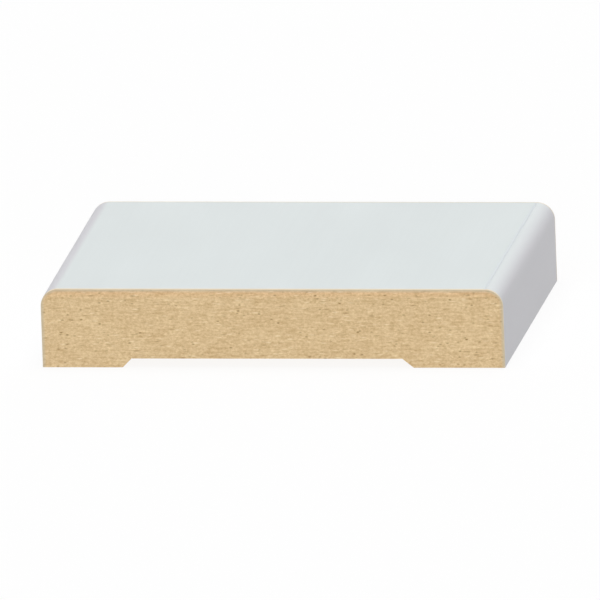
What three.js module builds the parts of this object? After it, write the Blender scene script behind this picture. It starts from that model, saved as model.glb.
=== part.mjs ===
// A short length of flat casing moulding, milled in one piece from medium-density fibreboard.
// Its two front edges are eased, and its back is hollowed so that only two lands meet the wall.
// Millimetres: X runs across the face, Y along the moulding and Z from the wall out to the face.
// The origin lies on the plane of the lands, under the middle of the piece.

import * as THREE from "three";

// Driving dimensions
const INCH = 25.4;
const WIDTH = (3 + 1 / 4) * INCH;
const THICKNESS = (9 / 16) * INCH;
const LENGTH = (2 + 1 / 2) * INCH;
const EDGE_RADIUS = INCH / 8;
const RELIEF_DEPTH = INCH / 16;
const LEFT_LAND = 14.3;
const RIGHT_LAND = 16.3;
const LEFT_RAMP_DEGREES = 45;
const RIGHT_RAMP_DEGREES = 38.5;
const ARC_SEGMENTS = 24;

/** How far a ramp of this slope runs across the back while it rises to the hollow. */
function rampRun(degrees) {
  return RELIEF_DEPTH / Math.tan(THREE.MathUtils.degToRad(degrees));
}

/** The cross-section, with its x across the face and its y from the wall to the face. */
function crossSection() {
  const side = WIDTH / 2;
  const arcAcross = side - EDGE_RADIUS;
  const arcUp = THICKNESS - EDGE_RADIUS;
  const leftLandEnd = -side + LEFT_LAND;
  const rightLandEnd = side - RIGHT_LAND;

  const outline = new THREE.Shape();
  outline.moveTo(-side, 0);
  outline.lineTo(leftLandEnd, 0);
  outline.lineTo(leftLandEnd + rampRun(LEFT_RAMP_DEGREES), RELIEF_DEPTH);
  outline.lineTo(rightLandEnd - rampRun(RIGHT_RAMP_DEGREES), RELIEF_DEPTH);
  outline.lineTo(rightLandEnd, 0);
  outline.lineTo(side, 0);
  outline.lineTo(side, arcUp);
  outline.absarc(arcAcross, arcUp, EDGE_RADIUS, 0, Math.PI / 2);
  outline.lineTo(-arcAcross, THICKNESS);
  outline.absarc(-arcAcross, arcUp, EDGE_RADIUS, Math.PI / 2, Math.PI);
  outline.closePath();
  return outline;
}

const rawFibreboard = new THREE.MeshStandardMaterial({
  name: "raw_fibreboard",
  color: 0xd4b98e,
  roughness: 0.9,
  metalness: 0,
});

const primer = new THREE.MeshStandardMaterial({
  name: "primer",
  color: 0xdee4e4,
  roughness: 0.5,
  metalness: 0,
});

// The two sawn ends show the board, and every face along the length is drawn primed.
const casing = new THREE.Mesh(
  new THREE.ExtrudeGeometry(crossSection(), {
    depth: LENGTH,
    bevelEnabled: false,
    curveSegments: ARC_SEGMENTS,
  }),
  [rawFibreboard, primer],
);
casing.name = "casing";

// The section is drawn upright and runs away from the near end, centred on the origin.
casing.rotation.x = Math.PI / 2;
casing.position.y = LENGTH / 2;

const group = new THREE.Group();
group.name = "casing_moulding";
group.add(casing);

export default group;
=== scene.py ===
"""A short length of flat casing moulding: a milled strip of fibreboard under a coat of primer.

The board and the coat are each made by a Geometry Nodes tree, which bends a gridded block into the
moulding's section. Both trees follow the same outline, the coat at its full size and the board one coat
thickness inside it, so the two meet face to face. Sizes are in metres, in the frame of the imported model.
"""

import logging
import math
from dataclasses import dataclass
from enum import Enum
from typing import ClassVar, Union

import bmesh
import bpy
from mathutils import Matrix, Vector


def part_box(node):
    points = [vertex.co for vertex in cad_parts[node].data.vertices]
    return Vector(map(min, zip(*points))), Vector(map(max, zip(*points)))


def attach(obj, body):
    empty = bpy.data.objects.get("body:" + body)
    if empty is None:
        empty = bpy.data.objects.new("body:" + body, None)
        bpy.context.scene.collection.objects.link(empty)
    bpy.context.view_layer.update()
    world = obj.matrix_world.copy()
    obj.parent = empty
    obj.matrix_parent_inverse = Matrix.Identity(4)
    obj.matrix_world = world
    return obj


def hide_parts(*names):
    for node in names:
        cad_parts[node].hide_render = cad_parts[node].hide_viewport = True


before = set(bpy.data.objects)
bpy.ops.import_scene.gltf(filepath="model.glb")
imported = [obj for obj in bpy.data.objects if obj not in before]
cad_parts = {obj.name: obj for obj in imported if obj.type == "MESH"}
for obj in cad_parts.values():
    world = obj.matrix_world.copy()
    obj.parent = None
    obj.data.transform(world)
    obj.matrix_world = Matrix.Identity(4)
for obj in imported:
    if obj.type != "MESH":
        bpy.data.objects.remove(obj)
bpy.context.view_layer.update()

log = logging.getLogger("casing")

Colour = tuple[float, float, float]
Spread = tuple[float, float, float]
Number = Union["Field", float]
Key = Union[str, int]

MM = 0.001
# The middle of whatever runs from 0 to 1.
MIDDLE = 0.5
WHITE: Colour = (1.0, 1.0, 1.0)
BLACK: Colour = (0.0, 0.0, 0.0)
CAD_NODE = "casing"
BODY = "root"


class Operation(Enum):
    """What a math node does with its inputs."""

    ADD = "ADD"
    SUBTRACT = "SUBTRACT"
    MULTIPLY = "MULTIPLY"
    DIVIDE = "DIVIDE"
    LEAST = "MINIMUM"
    MOST = "MAXIMUM"
    UNSIGNED = "ABSOLUTE"
    SIGN = "SIGN"
    SINE = "SINE"
    COSINE = "COSINE"
    ABOVE = "GREATER_THAN"


class Stored(Enum):
    """The values that a mesh stores on its points for its finish to read."""

    UNDER_FACE = "under_face"
    UNDER_COAT = "under_coat"
    ROUND_EDGE = "round_edge"
    # How near the cutter's line a point lies, which sets its painted shade.
    CUTTER_LINE_SHADE = "cutter_line_shade"
    SAWN_RIM = "sawn_rim"


def opaque(colour: Colour) -> tuple[float, float, float, float]:
    """Adds the fourth number that a colour's socket takes."""
    return (*colour, 1.0)


def feed(socket: bpy.types.NodeSocket, value: object) -> None:
    """Gives a node's input its value, by a link where the value is a field.

    Args:
        socket: The input.
        value: A field, or a plain value that the socket takes.
    """
    if isinstance(value, Field):
        value.tree.links.new(value.socket, socket)
    else:
        socket.default_value = value


def add_node(
    tree: bpy.types.NodeTree, kind: str, inputs: dict[Key, object], **settings: object
) -> bpy.types.Node:
    """Adds a node, with its settings and inputs.

    Args:
        tree: The tree that takes the node.
        kind: Blender's name for the kind of node.
        inputs: A value or a field for each input that isn't left as it comes, by name or number.
        **settings: The node's own properties.

    Returns:
        The new node.
    """
    node = tree.nodes.new(kind)
    for name, value in settings.items():
        setattr(node, name, value)
    for key, value in inputs.items():
        feed(node.inputs[key], value)
    return node


def add_field(
    tree: bpy.types.NodeTree, kind: str, inputs: dict[Key, object], output: Key = 0, **settings: object
) -> "Field":
    """Adds a node as add_node does, and takes one of its outputs."""
    return Field(add_node(tree, kind, inputs, **settings).outputs[output])


@dataclass(frozen=True)
class Field:
    """A value in a node tree, whose arithmetic adds the nodes that it needs."""

    socket: bpy.types.NodeSocket

    @property
    def tree(self) -> bpy.types.NodeTree:
        """The tree that holds the value."""
        return self.socket.id_data

    def apply(self, operation: Operation, *others: Number, clamped: bool = False) -> "Field":
        """Adds a math node with this field as its first input, clamped to the range from 0 to 1 or not."""
        values = dict(enumerate((self, *others)))
        return add_field(self.tree, "ShaderNodeMath", values, operation=operation.value, use_clamp=clamped)

    def __add__(self, other: Number) -> "Field":
        """Adds."""
        return self.apply(Operation.ADD, other)

    def __sub__(self, other: Number) -> "Field":
        """Subtracts."""
        return self.apply(Operation.SUBTRACT, other)

    def __rsub__(self, other: float) -> "Field":
        """Subtracts from a plain number."""
        return self.apply(Operation.MULTIPLY, -1.0) + other

    def __mul__(self, other: Number) -> "Field":
        """Multiplies."""
        return self.apply(Operation.MULTIPLY, other)

    def __truediv__(self, other: Number) -> "Field":
        """Divides."""
        return self.apply(Operation.DIVIDE, other)

    def share_of(self, whole: Number) -> "Field":
        """Divides, and keeps the result between 0 and 1."""
        return self.apply(Operation.DIVIDE, whole, clamped=True)

    def least(self, other: Number) -> "Field":
        """The smaller of the two."""
        return self.apply(Operation.LEAST, other)

    def most(self, other: Number) -> "Field":
        """The larger of the two."""
        return self.apply(Operation.MOST, other)

    def unsigned(self) -> "Field":
        """The value without its sign."""
        return self.apply(Operation.UNSIGNED)

    def sign(self) -> "Field":
        """One with the value's sign, or zero."""
        return self.apply(Operation.SIGN)

    def above(self, limit: Number) -> "Field":
        """One where the value is above the limit, and zero elsewhere."""
        return self.apply(Operation.ABOVE, limit)

    def sine(self) -> "Field":
        """The sine of an angle in radians."""
        return self.apply(Operation.SINE)

    def cosine(self) -> "Field":
        """The cosine of an angle in radians."""
        return self.apply(Operation.COSINE)


def combine(x: Field, y: Number, z: Number) -> Field:
    """Joins three numbers into a vector."""
    return add_field(x.tree, "ShaderNodeCombineXYZ", {"X": x, "Y": y, "Z": z})


def noise(at: Field, detail: float, roughness: float = 0.5) -> Field:
    """Adds noise about a middle of 0.5, with one unit to a grain and some finer layers."""
    inputs = {"Vector": at, "Scale": 1.0, "Detail": detail, "Roughness": roughness}
    return add_field(at.tree, "ShaderNodeTexNoise", inputs)


@dataclass(frozen=True)
class Stretch:
    """A length that holds a whole number of grid steps."""

    length: Number
    steps: int


@dataclass(frozen=True)
class Ruler:
    """Stretches laid end to end, which space the lines of a block's grid."""

    stretches: tuple[Stretch, ...]

    @property
    def lines(self) -> int:
        """How many grid lines the ruler has."""
        return 1 + sum(stretch.steps for stretch in self.stretches)

    def place(self, share: Field) -> Field:
        """Finds how far along the ruler a grid line lies.

        Args:
            share: The line's place in a block with even lines, from 0 to 1.

        Returns:
            Its distance from the ruler's start.
        """
        step = share * float(self.lines - 1)
        first = 0
        distance: Number = 0.0
        for stretch in self.stretches:
            distance = (step - float(first)).share_of(float(stretch.steps)) * stretch.length + distance
            first += stretch.steps
        return distance


@dataclass(frozen=True)
class Section:
    """The moulding's length and the sizes of its cross-section.

    Attributes:
        width: The size across the face.
        length: The size along the moulding.
        thickness: The size from the wall to the face.
        edge_radius: The radius of the two eased edges.
        relief_depth: The depth of the hollow along the back.
        left_land: The width of the flat that meets the wall left of the hollow.
        right_land: The same, right of the hollow.
        left_ramp_angle: How steeply the back rises from the left land to the hollow.
        right_ramp_angle: The same, from the right land.
        face_coat: How thick the primer lies on the face.
        side_coat: How thick the primer lies on the sides.
    """

    width: float
    length: float
    thickness: float
    edge_radius: float = 3.175 * MM
    relief_depth: float = 1.5875 * MM
    left_land: float = 14.3 * MM
    right_land: float = 16.3 * MM
    left_ramp_angle: float = math.radians(45.0)
    right_ramp_angle: float = math.radians(38.5)
    face_coat: float = 0.14 * MM
    side_coat: float = 0.05 * MM

    @classmethod
    def of_node(cls, node: str) -> "Section":
        """Takes the overall sizes from the box of a CAD node.

        Args:
            node: The node's name.

        Returns:
            The section at that size.
        """
        low, high = (Vector(corner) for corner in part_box(node))
        width, length, thickness = high - low
        return cls(width, length, thickness)

    @property
    def left_ramp(self) -> float:
        """How far the left ramp of the hollow runs across the back."""
        return self.relief_depth / math.tan(self.left_ramp_angle)

    @property
    def right_ramp(self) -> float:
        """How far the right ramp of the hollow runs across the back."""
        return self.relief_depth / math.tan(self.right_ramp_angle)

    @property
    def hollow(self) -> float:
        """The width of the hollow between its ramps."""
        return self.width - self.left_land - self.left_ramp - self.right_ramp - self.right_land


class MouldingTree:
    """A Geometry Nodes tree that bends a gridded block into one layer of the moulding."""

    # Points further than this share of the length from the middle lie on a sawn end.
    END_FROM: ClassVar[float] = 0.4999
    # Edges that turn by more than this angle stay crisp.
    CRISP_FROM: ClassVar[float] = math.radians(40.0)

    def __init__(self, name: str, section: Section) -> None:
        """Starts the tree with an input for each size that every layer shares.

        Args:
            name: The tree's name.
            section: The moulding's sizes.
        """
        self.tree = bpy.data.node_groups.new(name, "GeometryNodeTree")
        self.entry = self.tree.nodes.new("NodeGroupInput")
        self.values: dict[str, object] = {}
        self.width = self.add_size("Width", section.width)
        self.length = self.add_size("Length", section.length)
        self.thickness = self.add_size("Thickness", section.thickness)
        self.edge_radius = self.add_size("Edge Radius", section.edge_radius)
        self.face_coat = self.add_size("Face Coat", section.face_coat)
        self.side_coat = self.add_size("Side Coat", section.side_coat)
        self.face_half = self.width / 2.0 - self.edge_radius
        self.arc = self.edge_radius * (math.pi / 2.0)
        self.side = self.thickness - self.edge_radius

    def add_input(self, name: str, kind: str, value: object) -> Field:
        """Adds a named input.

        Args:
            name: What the input is called.
            kind: Blender's name for the socket.
            value: What the modifier gives it.

        Returns:
            The input as a field.
        """
        socket = self.tree.interface.new_socket(name=name, in_out="INPUT", socket_type=kind)
        self.values[socket.identifier] = value
        return Field(self.entry.outputs[name])

    def add_size(self, name: str, value: float) -> Field:
        """Adds a named input for a size, a share or an angle."""
        return self.add_input(name, "NodeSocketFloat", value)

    def add_count(self, name: str, value: int) -> Field:
        """Adds a named input for a number of grid lines."""
        return self.add_input(name, "NodeSocketInt", value)

    def block(self, columns: int, rows: int, layers: int) -> tuple[Field, Field, Field, Field]:
        """Adds the gridded block that the tree bends.

        Args:
            columns: Its grid lines across the moulding.
            rows: Its grid lines along the moulding.
            layers: Its grid lines from the back to the face.

        Returns:
            The block, and each point's share of the way across it, along it and up it.
        """
        sizes = {
            "Size": (1.0, 1.0, 1.0),
            "Vertices X": self.add_count("Columns", columns),
            "Vertices Y": self.add_count("Rows", rows),
            "Vertices Z": self.add_count("Layers", layers),
        }
        mesh = add_field(self.tree, "GeometryNodeMeshCube", sizes, "Mesh")
        place = add_field(self.tree, "GeometryNodeInputPosition", {})
        parts = add_node(self.tree, "ShaderNodeSeparateXYZ", {"Vector": place})
        across, along, up = (Field(output) + MIDDLE for output in parts.outputs)
        return mesh, across, along, up

    def at_end(self, along: Field) -> Field:
        """One on the points of the two sawn ends, and zero between them."""
        return (along - MIDDLE).unsigned().above(self.END_FROM)

    def round_edge(self, from_middle: Field) -> Field:
        """How far round an eased edge a point lies, from zero on the face to one on the side."""
        return (from_middle.unsigned() - self.face_half).share_of(self.arc)

    def coat(self, from_middle: Field) -> Field:
        """How thick the coat is, which runs thin over the eased edges."""
        return self.face_coat - (self.face_coat - self.side_coat) * self.round_edge(from_middle)

    def outline(self, from_middle: Field, inset: Number) -> tuple[Field, Field]:
        """Follows the face, an eased edge and the side below it.

        Args:
            from_middle: The distance from the middle of the face along the outer outline, less than
                zero on the left.
            inset: How far inside the outline the point lies.

        Returns:
            The point's place across the moulding and its height.
        """
        reach = from_middle.unsigned()
        past_face = (reach - self.face_half).most(0.0)
        turn = past_face.least(self.arc) / self.edge_radius
        down = (past_face - self.arc).most(0.0)
        radius = self.edge_radius - inset
        across = from_middle.sign() * (reach.least(self.face_half) + radius * turn.sine())
        height = self.side + radius * turn.cosine() - down
        return across, height

    def keep(self, mesh: Field, name: Stored, value: Field) -> Field:
        """Stores a value on the points for the finish to read.

        Args:
            mesh: The mesh so far.
            name: Which value it is.
            value: The value.

        Returns:
            The mesh with the value.
        """
        inputs = {"Geometry": mesh, "Name": name.value, "Value": value}
        kind = "GeometryNodeStoreNamedAttribute"
        return add_field(self.tree, kind, inputs, data_type="FLOAT", domain="POINT")

    def bend(self, mesh: Field, x: Field, y: Field, z: Field) -> Field:
        """Moves the block's points to their places across and along the moulding and to their heights."""
        inputs = {"Geometry": mesh, "Position": combine(x, y, z)}
        return add_field(self.tree, "GeometryNodeSetPosition", inputs)

    def close(self, mesh: Field, material: bpy.types.Material) -> None:
        """Smooths the curved faces, keeps the edges crisp and ends the tree.

        Args:
            mesh: The finished mesh.
            material: What it wears.
        """
        crisp_from = self.add_size("Crisp From", self.CRISP_FROM)
        finish = self.add_input("Finish", "NodeSocketMaterial", material)
        self.tree.interface.new_socket(name="Geometry", in_out="OUTPUT", socket_type="NodeSocketGeometry")
        angle = add_field(self.tree, "GeometryNodeInputMeshEdgeAngle", {}, "Unsigned Angle")
        shade = "GeometryNodeSetShadeSmooth"
        mesh = add_field(self.tree, shade, {"Geometry": mesh, "Shade Smooth": True}, domain="FACE")
        edges = {"Geometry": mesh, "Selection": angle.above(crisp_from), "Shade Smooth": False}
        mesh = add_field(self.tree, shade, edges, domain="EDGE")
        mesh = add_field(self.tree, "GeometryNodeRealizeInstances", {"Geometry": mesh})
        mesh = add_field(self.tree, "GeometryNodeSetMaterial", {"Geometry": mesh, "Material": finish})
        add_node(self.tree, "NodeGroupOutput", {"Geometry": mesh})

    def make(self, name: str) -> bpy.types.Object:
        """Runs the tree and turns its result into a plain mesh.

        Args:
            name: The new object's name.

        Returns:
            The object, at the origin and with no modifier left.
        """
        made = bpy.data.objects.new(name, bpy.data.meshes.new(name))
        modifier = made.modifiers.new("moulding", "NODES")
        modifier.node_group = self.tree
        for identifier, value in self.values.items():
            modifier[identifier] = value
        bpy.context.scene.collection.objects.link(made)
        graph = bpy.context.evaluated_depsgraph_get()
        mesh = bpy.data.meshes.new_from_object(made.evaluated_get(graph), depsgraph=graph)
        made.modifiers.remove(modifier)
        spare = made.data
        made.data = mesh
        bpy.data.meshes.remove(spare)
        mesh.name = name
        return made


class BoardTree(MouldingTree):
    """The tree of the fibreboard strip, with inputs for the hollow along its back."""

    def __init__(self, section: Section) -> None:
        """Starts the tree.

        Args:
            section: The moulding's sizes.
        """
        super().__init__("fibreboard strip", section)
        self.relief = self.add_size("Relief Depth", section.relief_depth)
        self.left_land = self.add_size("Left Land", section.left_land)
        self.right_land = self.add_size("Right Land", section.right_land)
        self.left_ramp = self.add_size("Left Ramp", section.left_ramp)
        self.right_ramp = self.add_size("Right Ramp", section.right_ramp)
        self.hollow = self.width - self.left_land - self.left_ramp - self.right_ramp - self.right_land

    def rise(self, x: Field) -> Field:
        """Follows the ramps of the hollow.

        Args:
            x: Each point's place across the moulding.

        Returns:
            How far the back has risen there, from zero on the lands to one in the hollow.
        """
        left = (x + self.width / 2.0 - self.left_land).share_of(self.left_ramp)
        right = (self.width / 2.0 - self.right_land - x).share_of(self.right_ramp)
        return left.least(right)


@dataclass(frozen=True)
class Grain:
    """A layer of uneven tone in a finish.

    Attributes:
        size: How far one grain reaches along each axis.
        contrast: How far the tone swings.
        detail: How many finer layers it has.
        roughness: How strong the finer layers are.
    """

    size: Spread
    contrast: float
    detail: float = 1.0
    roughness: float = 0.5


@dataclass(frozen=True)
class Flecks:
    """Spots that stand out from the finish around them, one at most in each cell.

    Attributes:
        colour: The colour of a fleck.
        cell: The size of a cell along each axis.
        reach: How far a fleck spreads from its middle, as a share of the cell.
        share: How many of the cells hold one.
        strength: How much of its colour the strongest fleck has. Past one, its middle is full.
        seed: What the draw of the cells and their strengths starts from.
    """

    colour: Colour
    cell: Spread
    reach: float
    share: float
    strength: float
    seed: float


class FinishTree:
    """A material's node tree, with the few nodes that the finishes share."""

    # A mix node has sockets for every kind of value. These are the ones for colours.
    MIX_SHARE: ClassVar[int] = 0
    MIX_START: ClassVar[int] = 6
    MIX_END: ClassVar[int] = 7
    MIXED: ClassVar[int] = 2

    def __init__(self, name: str) -> None:
        """Makes the material and clears its tree.

        Args:
            name: The material's name.
        """
        self.material = bpy.data.materials.new(name)
        self.material.use_nodes = True
        self.tree = self.material.node_tree
        self.tree.nodes.clear()
        self.point = add_field(self.tree, "ShaderNodeTexCoord", {}, "Object")

    def place(self, unit: Spread) -> Field:
        """The point on the object, in units of the given length along each axis."""
        scale = tuple(1.0 / size for size in unit)
        return add_field(self.tree, "ShaderNodeMapping", {"Vector": self.point, "Scale": scale})

    def grain(self, layer: Grain) -> Field:
        """Adds a layer of uneven tone, which lies about zero."""
        return (noise(self.place(layer.size), layer.detail, layer.roughness) - MIDDLE) * layer.contrast

    def scatter(self, flecks: Flecks, colour: Field) -> Field:
        """Scatters flecks of uneven strength over a colour.

        Args:
            flecks: What the flecks are like.
            colour: The colour so far.

        Returns:
            The colour with the flecks.
        """
        grid = {"Vector": self.place(flecks.cell), "Scale": 1.0}
        spots = add_node(self.tree, "ShaderNodeTexVoronoi", grid)
        distance, middle = (Field(spots.outputs[name]) for name in ("Distance", "Position"))
        cell = add_field(self.tree, "ShaderNodeVectorMath", {0: middle}, operation="FLOOR")
        drawn = {"Vector": cell, "W": flecks.seed}
        draw = add_field(self.tree, "ShaderNodeTexWhiteNoise", drawn, "Color", noise_dimensions="4D")
        chances = add_node(self.tree, "ShaderNodeSeparateColor", {"Color": draw})
        chance, strength = (Field(chances.outputs[name]) for name in ("Red", "Green"))
        inside = (1.0 - distance.share_of(flecks.reach)) * chance.above(1.0 - flecks.share)
        return self.mix(inside * strength * flecks.strength, colour, flecks.colour)

    def stored(self, name: Stored) -> Field:
        """Reads a value that the mesh stores."""
        return add_field(self.tree, "ShaderNodeAttribute", {}, "Fac", attribute_name=name.value)

    def mix(self, share: Field, start: Union[Field, Colour], end: Union[Field, Colour]) -> Field:
        """Mixes two colours.

        Args:
            share: How much of the second colour there is.
            start: The first colour.
            end: The second colour.

        Returns:
            The mixed colour.
        """
        inputs = {self.MIX_SHARE: share}
        for socket, colour in ((self.MIX_START, start), (self.MIX_END, end)):
            inputs[socket] = colour if isinstance(colour, Field) else opaque(colour)
        settings = {"data_type": "RGBA", "clamp_factor": True}
        return add_field(self.tree, "ShaderNodeMix", inputs, self.MIXED, **settings)

    def bump(self, height: Field, depth: float) -> Field:
        """Turns a height, in units of the given depth, into a surface normal."""
        return add_field(self.tree, "ShaderNodeBump", {"Height": height, "Distance": depth})

    def close(self, **sockets: object) -> bpy.types.Material:
        """Adds the surface shader.

        Args:
            **sockets: The shader's inputs, with their spaces written as underscores.

        Returns:
            The finished material.
        """
        inputs = {name.replace("_", " "): value for name, value in sockets.items()}
        surface = add_field(self.tree, "ShaderNodeBsdfPrincipled", inputs)
        add_node(self.tree, "ShaderNodeOutputMaterial", {"Surface": surface})
        return self.material


@dataclass(frozen=True)
class RawFibreboard:
    """Sawn and milled fibreboard: matted fibres that lie level with the face.

    Attributes:
        dark: The darkest tone of the core.
        light: The lightest tone of the core.
        streaks: The long fibres.
        fibres: The short ones.
        mottle: The uneven tone of the whole board.
        pale_fibres: Single fibres that stand out pale.
        dark_fibres: Single fibres that stand out dark.
        bark: Small specks of bark.
        dense_dark: The darkest tone of the dense layer just under the face.
        dense_light: The lightest tone of that layer.
        dense_streaks: The further streaks of that layer.
        dense_depth: How deep that layer reaches.
        dense_strength: How far its tones show at the face.
        under_coat_band: The greyish tone of a thin band on the sawn ends just under the coat.
        under_coat_band_depth: How deep below the coat the band reaches.
        under_coat_band_strength: How far that tone shows next to the coat.
        fuzz: How far the fibres stand up.
        roughness: How rough the surface is.
        gloss: How strongly it reflects.
    """

    dark: Colour = (0.43, 0.253, 0.103)
    light: Colour = (0.915, 0.735, 0.452)
    streaks: Grain = Grain((2.2 * MM, 2.2 * MM, 0.26 * MM), contrast=0.5, detail=2.0)
    fibres: Grain = Grain((0.55 * MM, 0.55 * MM, 0.36 * MM), contrast=1.2, detail=3.0, roughness=0.85)
    mottle: Grain = Grain((7.0 * MM, 7.0 * MM, 3.0 * MM), contrast=0.15)
    pale_fibres: Flecks = Flecks(
        (0.90, 0.75, 0.50), (2.4 * MM, 2.4 * MM, 0.5 * MM), reach=0.3, share=0.5, strength=0.9, seed=1.0
    )
    dark_fibres: Flecks = Flecks(
        (0.34, 0.195, 0.075), (2.6 * MM, 2.6 * MM, 0.6 * MM), reach=0.3, share=0.5, strength=0.9, seed=2.0
    )
    bark: Flecks = Flecks(
        (0.25, 0.135, 0.035), (1.2 * MM, 1.5 * MM, 0.6 * MM), reach=0.3, share=0.45, strength=1.2, seed=3.0
    )
    dense_dark: Colour = (0.50, 0.262, 0.105)
    dense_light: Colour = (0.98, 0.714, 0.415)
    dense_streaks: Grain = Grain((5.0 * MM, 5.0 * MM, 0.5 * MM), contrast=0.8, detail=2.0)
    dense_depth: float = 1.9 * MM
    dense_strength: float = 0.8
    under_coat_band: Colour = (0.54, 0.485, 0.37)
    under_coat_band_depth: float = 0.62 * MM
    under_coat_band_strength: float = 0.8
    fuzz: float = 0.03 * MM
    roughness: float = 0.92
    gloss: float = 0.15

    def material(self) -> bpy.types.Material:
        """Makes the material.

        Returns:
            The material, which reads the depths under the face and under the coat from the mesh.
        """
        finish = FinishTree("raw_fibreboard")
        pile = finish.grain(self.streaks) + finish.grain(self.fibres)
        dense = 1.0 - finish.stored(Stored.UNDER_FACE).share_of(self.dense_depth)
        tone = pile + finish.grain(self.mottle) + dense * finish.grain(self.dense_streaks) + MIDDLE
        core = finish.mix(tone, self.dark, self.light)
        skin = finish.mix(tone, self.dense_dark, self.dense_light)
        colour = finish.mix(dense * self.dense_strength, core, skin)
        for flecks in (self.pale_fibres, self.dark_fibres, self.bark):
            colour = finish.scatter(flecks, colour)
        # A greyish band just under the coat, fading with depth below it.
        under_coat_band = 1.0 - finish.stored(Stored.UNDER_COAT).share_of(self.under_coat_band_depth)
        colour = finish.mix(under_coat_band * self.under_coat_band_strength, colour, self.under_coat_band)
        return finish.close(
            Base_Color=colour,
            Roughness=self.roughness,
            Specular_IOR_Level=self.gloss,
            Normal=finish.bump(pile, self.fuzz),
        )


@dataclass(frozen=True)
class Primer:
    """Factory primer: a satin white coat, full on the face and thin over the eased edges and sides.

    Attributes:
        face_low: The darker tone of the face.
        face_high: The lighter tone of the face.
        shaded_side_low: The darker tone of the sides, painted shade over the thin coat's own tone.
        shaded_side_high: The lighter tone of the sides, with the same painted shade.
        left_shade_over: How far round the left eased edge the painted shade goes on deepening to the
            sides' tone, as a share.
        right_shade_over: The same on the right, where it deepens more slowly, so the face's lighter tone
            reaches further round as a painted highlight.
        line: The painted shade in and beside the groove that a cutter left.
        sawn: The tone of the coat's cut edge.
        cloud: Broad uneven tone.
        drag: Fine lines along the moulding.
        peel: The fine dimples of a sprayed coat.
        peel_depth: How deep they are.
        roughness: How rough the surface is.
        roughness_spread: How far the uneven tone shows in the roughness.
        gloss: How strongly it reflects.
    """

    face_low: Colour = (0.668, 0.711, 0.711)
    face_high: Colour = (0.704, 0.748, 0.748)
    shaded_side_low: Colour = (0.647, 0.644, 0.672)
    shaded_side_high: Colour = (0.685, 0.682, 0.710)
    left_shade_over: float = 0.2
    right_shade_over: float = 0.7
    line: Colour = (0.637, 0.674, 0.703)
    sawn: Colour = (0.78, 0.66, 0.48)
    cloud: Grain = Grain((9.0 * MM, 22.0 * MM, 9.0 * MM), contrast=0.8, detail=2.0)
    drag: Grain = Grain((0.5 * MM, 40.0 * MM, 0.5 * MM), contrast=0.4)
    peel: Grain = Grain((0.9 * MM, 1.2 * MM, 0.9 * MM), contrast=0.3, detail=2.0)
    peel_depth: float = 0.02 * MM
    roughness: float = 0.52
    roughness_spread: float = 0.3
    gloss: float = 0.15

    def material(self) -> bpy.types.Material:
        """Makes the material.

        Returns:
            The material, which reads from the mesh how far round an eased edge a point lies, less than
            zero on the left, how near it is to the cutter's line, and whether it is on the sawn rim.
        """
        finish = FinishTree("primer")
        cloud, drag, peel = (finish.grain(layer) for layer in (self.cloud, self.drag, self.peel))
        tone = cloud + drag + peel + MIDDLE
        face = finish.mix(tone, self.face_low, self.face_high)
        # The sides' tone is darker and bluer than the face's: painted shade, with the thin coat's own
        # tone.
        side = finish.mix(tone, self.shaded_side_low, self.shaded_side_high)
        turn = finish.stored(Stored.ROUND_EDGE)
        # The mix from the face's tone to the sides' paints shade round the eased edges. It reaches the
        # sides' tone sooner on the left, and the right edge keeps a painted highlight.
        left = (turn * -1.0).share_of(self.left_shade_over)
        right = turn.share_of(self.right_shade_over)
        colour = finish.mix(left.most(right), face, side)
        # The cutter's line is painted darker: painted shade in its groove.
        colour = finish.mix(finish.stored(Stored.CUTTER_LINE_SHADE), colour, self.line)
        colour = finish.mix(finish.stored(Stored.SAWN_RIM), colour, self.sawn)
        return finish.close(
            Base_Color=colour,
            Roughness=(peel + cloud) * self.roughness_spread + self.roughness,
            Specular_IOR_Level=self.gloss,
            Normal=finish.bump(peel + drag, self.peel_depth),
        )


@dataclass(frozen=True)
class StudioWhite:
    """A plain matt surface of the studio that glows white, so that no shadow falls hard on it.

    Attributes:
        name: The material's name.
        colour: How much light it throws back.
        glow: How bright its own light is.
    """

    name: str
    colour: Colour
    glow: float

    def material(self) -> bpy.types.Material:
        """Makes the material.

        Returns:
            The material, which is the same all over.
        """
        return FinishTree(self.name).close(
            Base_Color=opaque(self.colour),
            Roughness=1.0,
            Specular_IOR_Level=0.0,
            Emission_Color=opaque(WHITE),
            Emission_Strength=self.glow,
        )


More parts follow.
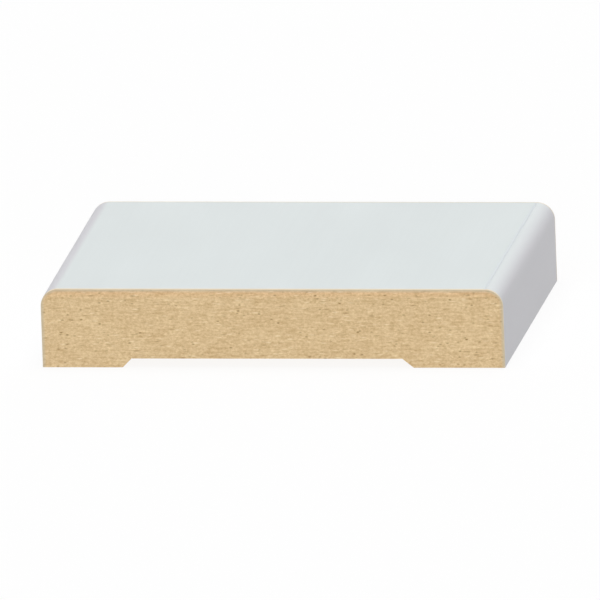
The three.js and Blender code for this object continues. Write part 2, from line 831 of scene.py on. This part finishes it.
@dataclass
class Board:
    """The fibreboard strip, with its hollowed back and its two sawn ends.

    Attributes:
        section: The moulding's sizes.
        finish: What the strip wears.
        grid: The size of a grid step across the back.
        arc_steps: The grid steps round each eased edge.
        rows: The grid lines along the strip.
        layers: The grid lines from the back to the face.
        torn_depth: How deep the saw tears fibres out of the ends.
        tuft_width: The width of a tuft of torn fibres.
        tuft_height: Its height.
        tuft_detail: How many finer layers the tufts have.
        tuft_seed: Where the noise that draws the tufts starts.
        ends_apart: How many tufts lie between the two ends, so that they don't tear alike.
        cutter_pitch: The length of the waves that the cutter left in the hollow.
        cutter_depth: Their depth.
    """

    section: Section
    finish: RawFibreboard
    grid: float = 0.33 * MM
    arc_steps: int = 14
    rows: int = 64
    layers: int = 56
    torn_depth: float = 0.06 * MM
    tuft_width: float = 2.4 * MM
    tuft_height: float = 0.8 * MM
    tuft_detail: float = 3.0
    tuft_seed: float = 0.0
    ends_apart: float = 5.0
    cutter_pitch: float = 3.2 * MM
    cutter_depth: float = 0.025 * MM

    def steps(self, length: float) -> int:
        """How many grid steps a length takes."""
        return max(1, round(length / self.grid))

    def crosswise(self, tree: BoardTree) -> Ruler:
        """Spaces the grid lines across the strip, so that one falls on each corner of its section.

        Args:
            tree: The strip's tree.

        Returns:
            The ruler, from the left side to the right one.
        """
        sizes = self.section
        radius = sizes.edge_radius
        return Ruler(
            (
                Stretch(tree.arc, self.arc_steps),
                Stretch(tree.left_land - tree.edge_radius, self.steps(sizes.left_land - radius)),
                Stretch(tree.left_ramp, self.steps(sizes.left_ramp)),
                Stretch(tree.hollow, self.steps(sizes.hollow)),
                Stretch(tree.right_ramp, self.steps(sizes.right_ramp)),
                Stretch(tree.right_land - tree.edge_radius, self.steps(sizes.right_land - radius)),
                Stretch(tree.arc, self.arc_steps),
            )
        )

    def back(self, tree: BoardTree, x: Field, along: Field) -> Field:
        """Follows the back: the lands, the ramps, and the hollow with the waves that its cutter left.

        Args:
            tree: The strip's tree.
            x: Each point's place across the moulding.
            along: Its share of the way along the moulding.

        Returns:
            The height of the back there.
        """
        pitch = tree.add_size("Cutter Pitch", self.cutter_pitch)
        depth = tree.add_size("Cutter Depth", self.cutter_depth)
        waves = (along - MIDDLE) * tree.length / pitch
        wave = (waves * math.tau).sine() / 2.0 + MIDDLE
        return tree.rise(x) * (tree.relief + wave * depth)

    def tear(self, tree: BoardTree, x: Field, along: Field, z: Field) -> Field:
        """Tears fibres out of the two sawn ends.

        Args:
            tree: The strip's tree.
            x: Each point's place across the moulding.
            along: Its share of the way along the moulding.
            z: Its height.

        Returns:
            How far in from its end a point lies, which is zero between the ends.
        """
        depth = tree.add_size("Torn Depth", self.torn_depth)
        width = tree.add_size("Tuft Width", self.tuft_width)
        height = tree.add_size("Tuft Height", self.tuft_height)
        seed = tree.add_size("Tuft Seed", self.tuft_seed)
        tuft = combine(x / width, along * self.ends_apart + seed, z / height)
        return noise(tuft, self.tuft_detail) * depth * tree.at_end(along)

    def build(self) -> bpy.types.Object:
        """Makes the strip.

        Returns:
            The new piece.
        """
        tree = BoardTree(self.section)
        ruler = self.crosswise(tree)
        mesh, across, along, up = tree.block(ruler.lines, self.rows, self.layers)
        from_middle = ruler.place(across) - tree.face_half - tree.arc
        x, top = tree.outline(from_middle, tree.coat(from_middle))
        bottom = self.back(tree, x, along)
        z = bottom + (top - bottom) * up
        y = (along - MIDDLE) * (tree.length - self.tear(tree, x, along, z) * 2.0)

        side = tree.width / 2.0 - tree.side_coat
        mesh = tree.keep(mesh, Stored.UNDER_FACE, tree.thickness - tree.face_coat - z)
        mesh = tree.keep(mesh, Stored.UNDER_COAT, (top - z).least(side - x.unsigned()))
        tree.close(tree.bend(mesh, x, y, z), self.finish.material())
        return tree.make("board")


@dataclass
class PrimerCoat:
    """The coat of primer over the face, the eased edges and both sides.

    Attributes:
        section: The moulding's sizes.
        finish: What the coat wears.
        grid: The size of a grid step across the face.
        arc_steps: The grid steps round each eased edge.
        side_steps: The grid steps down each side.
        rows: The grid steps along the coat between its two rims.
        layers: The grid lines through the coat.
        line_width: The width of the line that a cutter left beside the right edge.
        line_depth: Its depth.
        line_steps: The grid steps across it, with as many again beside it.
        rim: How wide a rim the saw wore down at each end.
        rim_drop: How far the rim is worn down at its edge, as a share of the coat.
        chip_depth: How strongly the rim is chipped.
        chip_length: The length of a chip.
        chip_detail: How many finer layers the chips have.
        chip_seed: Where the noise that draws the chips starts.
        chips_above: How high that noise has to be before it bites.
        ends_apart: How many chips lie between the two ends, so that they don't chip alike.
    """

    section: Section
    finish: Primer
    grid: float = 0.6 * MM
    arc_steps: int = 20
    side_steps: int = 18
    rows: int = 60
    layers: int = 2
    line_width: float = 0.4 * MM
    line_depth: float = 0.1 * MM
    line_steps: int = 6
    rim: float = 0.7 * MM
    rim_drop: float = 0.4
    chip_depth: float = 1.4 * MM
    chip_length: float = 1.6 * MM
    chip_detail: float = 2.0
    chip_seed: float = 0.0
    chips_above: float = 0.62
    ends_apart: float = 9.0

    def crosswise(self, tree: MouldingTree, line_width: Field) -> Ruler:
        """Spaces the grid lines round the section, close together at the cutter's line.

        Args:
            tree: The coat's tree.
            line_width: The width of the line.

        Returns:
            The ruler, from the foot of the left side to the foot of the right one.
        """
        face_steps = round((self.section.width - 2.0 * self.section.edge_radius) / self.grid)
        return Ruler(
            (
                Stretch(tree.side, self.side_steps),
                Stretch(tree.arc, self.arc_steps),
                Stretch(tree.face_half * 2.0 - line_width, face_steps),
                Stretch(line_width * 2.0, 2 * self.line_steps),
                Stretch(tree.arc - line_width, self.arc_steps),
                Stretch(tree.side, self.side_steps),
            )
        )

    def lengthwise(self, tree: MouldingTree) -> Ruler:
        """Spaces the grid lines along the coat, with one step for the rim at each end."""
        rim = tree.add_size("Rim Width", self.rim)
        return Ruler((Stretch(rim, 1), Stretch(tree.length - rim * 2.0, self.rows), Stretch(rim, 1)))

    def wear(self, tree: MouldingTree, line: Field, coat: Field, at_end: Field) -> Field:
        """Sinks the cutter's line and the two rims into the coat.

        Args:
            tree: The coat's tree.
            line: How near the middle of the line a point lies, from 0 to 1.
            coat: How thick the coat is there.
            at_end: One on the points of the two sawn ends, and zero between them.

        Returns:
            How far the coat's outer face lies inside the outline.
        """
        line_depth = tree.add_size("Cutter Line Depth", self.line_depth)
        rim_drop = tree.add_size("Rim Drop Share", self.rim_drop)
        return (line * line_depth).most(at_end * rim_drop * coat)

    def chips(self, tree: MouldingTree, from_middle: Field, along: Field) -> Field:
        """Draws the chips in the rim at each end.

        Args:
            tree: The coat's tree.
            from_middle: The distance from the middle of the face along the outline.
            along: The point's share of the way along the moulding.

        Returns:
            How deep the chips are.
        """
        depth = tree.add_size("Chip Depth", self.chip_depth)
        length = tree.add_size("Chip Length", self.chip_length)
        seed = tree.add_size("Chip Seed", self.chip_seed)
        spot = combine(from_middle / length, along * self.ends_apart + seed, 0.0)
        return (noise(spot, self.chip_detail) - self.chips_above).most(0.0) * depth

    def build(self) -> bpy.types.Object:
        """Makes the coat.

        Returns:
            The new piece.
        """
        tree = MouldingTree("primer coat", self.section)
        line_width = tree.add_size("Cutter Line Width", self.line_width)
        crosswise = self.crosswise(tree, line_width)
        lengthwise = self.lengthwise(tree)
        mesh, across, along, up = tree.block(crosswise.lines, lengthwise.lines, self.layers)
        from_middle = crosswise.place(across) - tree.side - tree.arc - tree.face_half
        at_end = tree.at_end(along)
        coat = tree.coat(from_middle)
        from_line = (from_middle - tree.face_half).unsigned()
        worn = self.wear(tree, 1.0 - from_line.share_of(line_width / 2.0), coat, at_end)
        x, z = tree.outline(from_middle, coat * (1.0 - up) + worn * up)
        y = lengthwise.place(along) - tree.length / 2.0
        y = y - y.sign() * self.chips(tree, from_middle, along) * at_end

        mesh = tree.keep(mesh, Stored.ROUND_EDGE, from_middle.sign() * tree.round_edge(from_middle))
        # The line's painted shade reaches twice as far out as its groove.
        mesh = tree.keep(mesh, Stored.CUTTER_LINE_SHADE, 1.0 - from_line.share_of(line_width))
        mesh = tree.keep(mesh, Stored.SAWN_RIM, at_end)
        tree.close(tree.bend(mesh, x, y, z), self.finish.material())
        return tree.make("primer_coat")


def towards(azimuth: float, elevation: float) -> Vector:
    """Points at a viewer or a lamp, round to the right from the near end and up from the floor."""
    flat = math.cos(elevation)
    return Vector((math.sin(azimuth) * flat, -math.cos(azimuth) * flat, math.sin(elevation)))


@dataclass(frozen=True)
class Lamp:
    """A broad, even light from one side.

    Attributes:
        name: The lamp's name.
        azimuth: The angle round the object, from the near end towards the right.
        elevation: The angle above the floor.
        spread: How wide the lamp looks from the object.
        share: How much light it gives, as a share of what makes a white surface full white.
    """

    name: str
    azimuth: float
    elevation: float
    spread: float
    share: float

    def build(self) -> None:
        """Adds the lamp to the scene."""
        data = bpy.data.lights.new(self.name, "SUN")
        data.energy = self.share * math.pi
        data.angle = self.spread
        lamp = bpy.data.objects.new(self.name, data)
        lamp.rotation_mode = "QUATERNION"
        lamp.rotation_quaternion = towards(self.azimuth, self.elevation).to_track_quat("Z", "Y")
        bpy.context.scene.collection.objects.link(lamp)


@dataclass
class Studio:
    """The floor, the backdrop, the light and the camera.

    Attributes:
        floor: What the floor wears.
        floor_half: Half the floor's size.
        floor_drop: How far the floor lies under the moulding's lands.
        backdrop: What the backdrop wears.
        backdrop_radius: How far away the backdrop hangs.
        backdrop_steps: How finely the backdrop is rounded.
        room_light: How bright the room itself is.
        lamps: The lamps.
        azimuth: The camera's angle round the object.
        elevation: Its angle above the floor.
        roll: How far it is turned about its own axis.
        distance: How far away it stands.
        aim: The point that it looks at.
        view_width: The width that it sees.
    """

    floor: StudioWhite = StudioWhite("pale_floor", (0.1, 0.1, 0.1), glow=0.8836)
    floor_half: float = 20.0
    floor_drop: float = 0.01 * MM
    backdrop: StudioWhite = StudioWhite("white_backdrop", BLACK, glow=0.993)
    backdrop_radius: float = 3.0
    backdrop_steps: int = 4
    room_light: float = 0.14
    lamps: tuple[Lamp, ...] = (
        Lamp("overhead", math.radians(90.0), math.radians(88.8), math.radians(50.0), share=0.662),
        Lamp("front", 0.0, math.radians(22.0), math.radians(60.0), share=0.427),
        Lamp("back", math.radians(180.0), math.radians(48.0), math.radians(50.0), share=0.15),
        Lamp("edge", math.radians(172.0), math.radians(17.0), math.radians(24.0), share=0.06),
    )
    azimuth: float = math.radians(8.836)
    elevation: float = math.radians(13.935)
    roll: float = math.radians(2.061)
    distance: float = 1.0
    aim: tuple[float, float, float] = (-0.01 * MM, 1.022 * MM, 4.078 * MM)
    view_width: float = 105.92 * MM

    def build(self) -> None:
        """Sets up the floor, the backdrop, the light and the camera."""
        self.lay_floor()
        self.hang_backdrop()
        self.light()
        self.set_camera()

    def put_up(self, mesh: bpy.types.Mesh, finish: StudioWhite) -> bpy.types.Object:
        """Dresses a surface of the studio and adds it to the scene.

        Args:
            mesh: Its shape, which also names it.
            finish: What it wears.

        Returns:
            The new object.
        """
        mesh.materials.append(finish.material())
        surface = bpy.data.objects.new(mesh.name, mesh)
        bpy.context.scene.collection.objects.link(surface)
        return surface

    def lay_floor(self) -> None:
        """Lays the pale floor just under the moulding's lands."""
        half, height = self.floor_half, -self.floor_drop
        corners = [(-half, -half), (half, -half), (half, half), (-half, half)]
        mesh = bpy.data.meshes.new("floor")
        mesh.from_pydata([(*corner, height) for corner in corners], [], [(0, 1, 2, 3)])
        floor = self.put_up(mesh, self.floor)

    def hang_backdrop(self) -> None:
        """Hangs a white backdrop all round, which the camera sees past the floor and no light meets."""
        mesh = bpy.data.meshes.new("backdrop")
        ball = bmesh.new()
        bmesh.ops.create_icosphere(ball, subdivisions=self.backdrop_steps, radius=self.backdrop_radius)
        ball.to_mesh(mesh)
        ball.free()
        backdrop = self.put_up(mesh, self.backdrop)
        backdrop.visible_diffuse = False
        backdrop.visible_glossy = False
        backdrop.visible_shadow = False

    def light(self) -> None:
        """Lights the room evenly, and adds the lamps."""
        scene = bpy.context.scene
        scene.world = bpy.data.worlds.new("studio")
        scene.world.use_nodes = True
        room = scene.world.node_tree.nodes["Background"]
        room.inputs["Color"].default_value = opaque(WHITE)
        room.inputs["Strength"].default_value = self.room_light
        scene.view_settings.view_transform = "Standard"
        for lamp in self.lamps:
            lamp.build()

    def set_camera(self) -> None:
        """Stands the camera at the photograph's angle. Its lines are parallel, as they are there."""
        data = bpy.data.cameras.new("camera")
        data.type = "ORTHO"
        data.ortho_scale = self.view_width
        camera = bpy.data.objects.new("camera", data)
        back = towards(self.azimuth, self.elevation)
        turn = back.to_track_quat("Z", "Y").to_matrix() @ Matrix.Rotation(-self.roll, 3, "Z")
        camera.matrix_world = Matrix.Translation(Vector(self.aim) + back * self.distance) @ turn.to_4x4()
        bpy.context.scene.collection.objects.link(camera)
        bpy.context.scene.camera = camera


def report(piece: bpy.types.Object) -> None:
    """Logs a piece's name and its number of triangles."""
    triangles = sum(len(face.vertices) - 2 for face in piece.data.polygons)
    log.info("%s: %d triangles", piece.name, triangles)


def main() -> None:
    """Builds the studio and the moulding."""
    logging.basicConfig(level=logging.INFO, format="%(name)s: %(message)s")
    Studio().build()
    section = Section.of_node(CAD_NODE)

    board = Board(section, RawFibreboard()).build()
    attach(board, BODY)
    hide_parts(CAD_NODE)
    report(board)

    coat = PrimerCoat(section, Primer()).build()
    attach(coat, BODY)
    report(coat)


if __name__ == "__main__":
    main()
